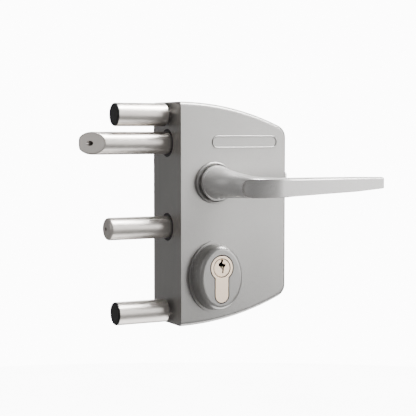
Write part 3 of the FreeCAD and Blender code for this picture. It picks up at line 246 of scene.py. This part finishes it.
DRESS = {
    case_coat: ("rear_housing", "front_cover", "front_handle_bush", "rear_handle_bush",
                "front_cylinder_rosette", "rear_cylinder_rosette"),
    lever_coat: ("front_lever", "rear_lever"),
    bolt_steel: ("latch_head", "dead_bolt_head", "fixing_sleeves"),
    inner_steel: ("latch_slide", "dead_bolt_slide", "follower_hub", "spindle", "mechanism_plate",
                  "dead_bolt_detent_spring", "latch_spring", "follower_return_spring", "hub_spacers"),
    screw_steel: ("cover_screws", "rosette_screws", "cylinder_screw", "fixing_screws", "mechanism_screws",
                  "lever_grub_screws", "latch_adjusting_screw", "dead_bolt_adjusting_screw"),
    inner_nickel: ("cylinder_cam", "plug_coupler"),
    body_nickel_painted_shade: ("cylinder_body",),
    plug_nickel_painted_shade: ("front_plug", "rear_plug"),
    bush_plastic: ("latch_guide_bush", "dead_bolt_guide_bush"),
    cap_plastic: ("hole_caps",),
}
for material, names in DRESS.items():
    for name in names:
        mesh = nodes[name].data
        mesh.materials.clear()
        mesh.materials.append(material)


# Building added pieces

SHARP_ANGLE = math.radians(40)


def add_object(name, mesh, material):
    mesh.materials.append(material)
    obj = bpy.data.objects.new(name, mesh)
    scene.collection.objects.link(obj)
    return obj


def add_shape(name, shape, turn, place, material):
    """A bmesh about the local z axis as an object, turned and put in its place. Faces of up to four
    corners are smooth."""
    bmesh.ops.recalc_face_normals(shape, faces=shape.faces)
    shape.transform(Matrix.Translation(place) @ turn)
    for face in shape.faces:
        face.smooth = len(face.verts) <= 4
    mesh = bpy.data.meshes.new(name)
    shape.to_mesh(mesh)
    shape.free()
    return add_object(name, mesh, material)


def turned(degrees, axis):
    return Matrix.Rotation(math.radians(degrees), 4, axis)


def circle(radius, steps, height):
    """Points round the local z axis."""
    angles = [2 * math.pi * i / steps for i in range(steps)]
    return [(radius * math.cos(t), radius * math.sin(t), height) for t in angles]


def lathe(name, outline, steps, turn, place, material):
    """A ring or pin. outline is (radius, height) all the way round the section."""
    shape = bmesh.new()
    rings = []
    for radius, height in outline:
        if radius == 0.0:
            rings.append([shape.verts.new((0.0, 0.0, height))] * steps)
        else:
            rings.append([shape.verts.new(point) for point in circle(radius, steps, height)])
    for below, above in zip(rings, rings[1:] + rings[:1]):
        for i in range(steps):
            j = (i + 1) % steps
            corners = list(dict.fromkeys((below[i], below[j], above[j], above[i])))
            if len(corners) > 2:
                shape.faces.new(corners)
    obj = add_shape(name, shape, turn, place, material)
    obj.data.set_sharp_from_angle(angle=SHARP_ANGLE)
    return obj


def arc(centre, radius, start, end, count):
    """Points of an arc in an outline; angles in degrees, 0 along the radius and 90 along the height."""
    points = []
    for i in range(count + 1):
        angle = math.radians(start + (end - start) * i / count)
        points.append((centre[0] + radius * math.cos(angle), centre[1] + radius * math.sin(angle)))
    return points


def in_metres(outline):
    return [(radius * MM, height * MM) for radius, height in outline]


# First pin tumbler of each plug, seen in the keyway. Millimetres from the plug's axis and end face.

PIN_RADIUS, PIN_TALL, PIN_ROUND = 1.35, 4.6, 0.9
PIN_ASIDE, PIN_BEHIND, PIN_BELOW = 0.75, 2.2, 3.2
PIN_STEPS = 24
UPRIGHT = Matrix.Identity(4)

PIN_OUTLINE = [(0.0, 0.0), (PIN_RADIUS, 0.0)]
PIN_OUTLINE += arc((PIN_RADIUS - PIN_ROUND, PIN_TALL - PIN_ROUND), PIN_ROUND, 0, 90, 5)
PIN_OUTLINE += [(0.0, PIN_TALL)]

for plug, body, outward in (("front_plug", "cylinder_plug", -1), ("rear_plug", "rear_plug_body", 1)):
    low, high = (Vector(corner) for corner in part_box(plug))
    face = low.y if outward < 0 else high.y
    middle = (low + high) / 2
    foot = (middle.x - outward * PIN_ASIDE * MM, face - outward * PIN_BEHIND * MM, middle.z - PIN_BELOW * MM)
    pin = lathe(plug + "_pin", in_metres(PIN_OUTLINE), PIN_STEPS, UPRIGHT, foot, pin_brass)
    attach(pin, body)


# Rings behind the levers, dished inside a rounded rim. Heights are from the face of the case.

RING_RADIUS, RING_HEIGHT, RING_ROUND = 14.75, 2.4, 1.0
NECK_RADIUS, NECK_DEPTH = 11.0, 3.5
BORE_RADIUS = 9.05
HUB_RADIUS, HUB_SLOPE = 11.4, 0.3
DISH_RADIUS, DISH_FLOOR, DISH_ROUND = 13.35, 0.9, 0.5
RIM_ROUND = 0.35
RING_STEPS = 96

RING_OUTLINE = [
    (BORE_RADIUS, RING_HEIGHT),
    (HUB_RADIUS, RING_HEIGHT),
    (HUB_RADIUS + HUB_SLOPE, DISH_FLOOR),
]
RING_OUTLINE += arc((DISH_RADIUS - DISH_ROUND, DISH_FLOOR + DISH_ROUND), DISH_ROUND, -90, 0, 4)
RING_OUTLINE += arc((DISH_RADIUS + RIM_ROUND, RING_HEIGHT - RIM_ROUND), RIM_ROUND, 180, 90, 4)
RING_OUTLINE += arc((RING_RADIUS - RING_ROUND, RING_HEIGHT - RING_ROUND), RING_ROUND, 90, 0, 6)
RING_OUTLINE += [
    (RING_RADIUS, 0.0),
    (NECK_RADIUS, 0.0),
    (NECK_RADIUS, -NECK_DEPTH),
    (BORE_RADIUS, -NECK_DEPTH),
]

for bush, outward in (("front_handle_bush", -1), ("rear_handle_bush", 1)):
    low, high = (Vector(corner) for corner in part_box(bush))
    crown = low.y if outward < 0 else high.y
    middle = (low + high) / 2
    seat = (middle.x, crown - outward * RING_HEIGHT * MM, middle.z)
    ring = lathe(bush + "_ring", in_metres(RING_OUTLINE), RING_STEPS,
                 turned(-90 * outward, "X"), seat, case_coat)
    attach(ring, "case")
    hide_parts(bush)


# Coil springs inside the case

WIRE_RADIUS = 0.6 * MM
WIRE_SIDES = 8
STEPS_PER_TURN = 32
LATCH_SPRING_TURNS = 5
RETURN_SPRING_TURNS = 2.25


def coil(name, radius, length, turns, turn, place, material):
    """A round wire wound about the local z axis from 0 to length, its end turns laid close."""
    travel = length - 2 * WIRE_RADIUS
    closed = 2 * WIRE_RADIUS / travel
    steps = int(turns * STEPS_PER_TURN)
    shape = bmesh.new()
    sections = []
    for step in range(steps + 1):
        wound = turns * step / steps
        if wound < 1:
            rise = closed * wound
        elif wound > turns - 1:
            rise = 1 - closed * (turns - wound)
        else:
            rise = closed + (1 - 2 * closed) * ((wound - 1) / (turns - 2))
        angle = 2 * math.pi * wound
        height = WIRE_RADIUS + travel * rise
        section = []
        for side in range(WIRE_SIDES):
            tilt = 2 * math.pi * side / WIRE_SIDES
            reach = radius + WIRE_RADIUS * math.cos(tilt)
            section.append(shape.verts.new((reach * math.cos(angle), reach * math.sin(angle),
                                            height + WIRE_RADIUS * math.sin(tilt))))
        sections.append(section)
    for before, after in zip(sections, sections[1:]):
        for side in range(WIRE_SIDES):
            other = (side + 1) % WIRE_SIDES
            shape.faces.new((before[side], before[other], after[other], after[side]))
    shape.faces.new(sections[0])
    shape.faces.new(sections[-1])
    return add_shape(name, shape, turn, place, material)


low, high = (Vector(corner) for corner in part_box("latch_spring"))
middle, length = (low + high) / 2, high.x - low.x
latch_coil = coil("latch_spring_coil", (high.z - low.z) / 2 - WIRE_RADIUS, length, LATCH_SPRING_TURNS,
                  turned(90, "Y"), (low.x, middle.y, middle.z), inner_steel)
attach(latch_coil, "case")
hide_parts("latch_spring")
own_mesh(latch_coil)

low, high = (Vector(corner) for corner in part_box("follower_return_spring"))
middle, length = (low + high) / 2, high.y - low.y
return_coil = coil("follower_return_spring_coil", (high.z - low.z) / 2 - WIRE_RADIUS, length,
                   RETURN_SPRING_TURNS, turned(-90, "X"), (middle.x, low.y, middle.z), inner_steel)
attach(return_coil, "handle")
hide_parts("follower_return_spring")


# Floor and room

ROOM_LIGHT = 0.31
BACKDROP_LIGHT = 12.0
FLOOR_GLOW = 12.0
FLOOR_RADIUS, FLOOR_HEIGHT, FLOOR_SIDES = 5.0, -1.1, 128


def pale_floor():
    g = Graph("pale_floor")
    cloud = g.noise(scale=2.5, detail=3.0, rough=0.5)
    tone = g.ramp(cloud, ((0.35, (0.86, 0.86, 0.86)), (0.65, (0.90, 0.90, 0.90))))
    g.set(Base_Color=tone, Roughness=0.85, Emission_Color=tone, Emission_Strength=FLOOR_GLOW)
    return g.material


floor_mesh = bpy.data.meshes.new("floor")
floor_mesh.from_pydata(circle(FLOOR_RADIUS, FLOOR_SIDES, FLOOR_HEIGHT), [], [tuple(range(FLOOR_SIDES))])
floor = add_object("floor", floor_mesh, pale_floor())
floor.visible_diffuse = False
floor.visible_glossy = False

world = bpy.data.worlds.new("studio")
scene.world = world
world.use_nodes = True
tree = world.node_tree
background = tree.nodes["Background"]
background.inputs["Color"].default_value = (1.0, 1.0, 1.0, 1.0)
path = tree.nodes.new("ShaderNodeLightPath")
level = tree.nodes.new("ShaderNodeMapRange")
tree.links.new(path.outputs["Is Camera Ray"], level.inputs["Value"])
level.inputs["To Min"].default_value = ROOM_LIGHT
level.inputs["To Max"].default_value = BACKDROP_LIGHT
tree.links.new(level.outputs["Result"], background.inputs["Strength"])


# Lights: name, place, target, size, watts

CASE_MIDDLE = (0.03, 0.0, -0.02)
LATCH_END = (-0.05, 0.0, 0.03)
LIGHTS = (
    ("key", (1.90, -2.10, 0.50), CASE_MIDDLE, (2.0, 2.0), 48.0),
    ("rear", (1.50, 2.40, 0.60), CASE_MIDDLE, (2.0, 2.0), 60.0),
    ("overhead", (0.45, -0.28, 0.95), CASE_MIDDLE, (0.35, 1.1), 52.0),
    ("low_fill", (0.40, -0.05, -0.85), CASE_MIDDLE, (0.9, 0.9), 9.0),
    ("left_card", (-0.28, -0.095, 0.06), LATCH_END, (0.13, 0.16), 0.04),
)

for name, place, target, size, watts in LIGHTS:
    light = bpy.data.lights.new(name, "AREA")
    light.shape = "RECTANGLE"
    light.size, light.size_y = size
    light.energy = watts
    lamp = bpy.data.objects.new(name, light)
    lamp.location = place
    lamp.rotation_euler = (Vector(target) - Vector(place)).to_track_quat("-Z", "Y").to_euler()
    lamp.visible_camera = False
    scene.collection.objects.link(lamp)


# Camera, as fitted to the photo

FRAME_PIXELS, FOCAL_PIXELS, SENSOR_WIDTH = 416.0, 1200.0, 36.0
CAMERA_PLACE = (-365.2 * MM, -775.9 * MM, 36.0 * MM)
YAW, PITCH = math.radians(27.16), math.radians(-3.64)

camera_data = bpy.data.cameras.new("camera")
camera_data.sensor_width = SENSOR_WIDTH
camera_data.lens = FOCAL_PIXELS / FRAME_PIXELS * SENSOR_WIDTH
camera_data.clip_start, camera_data.clip_end = 0.05, 50.0
camera = bpy.data.objects.new("camera", camera_data)
camera.location = CAMERA_PLACE
look = Vector((math.sin(YAW) * math.cos(PITCH), math.cos(YAW) * math.cos(PITCH), math.sin(PITCH)))
camera.rotation_mode = "QUATERNION"
camera.rotation_quaternion = look.to_track_quat("-Z", "Y")
scene.collection.objects.link(camera)
scene.camera = camera
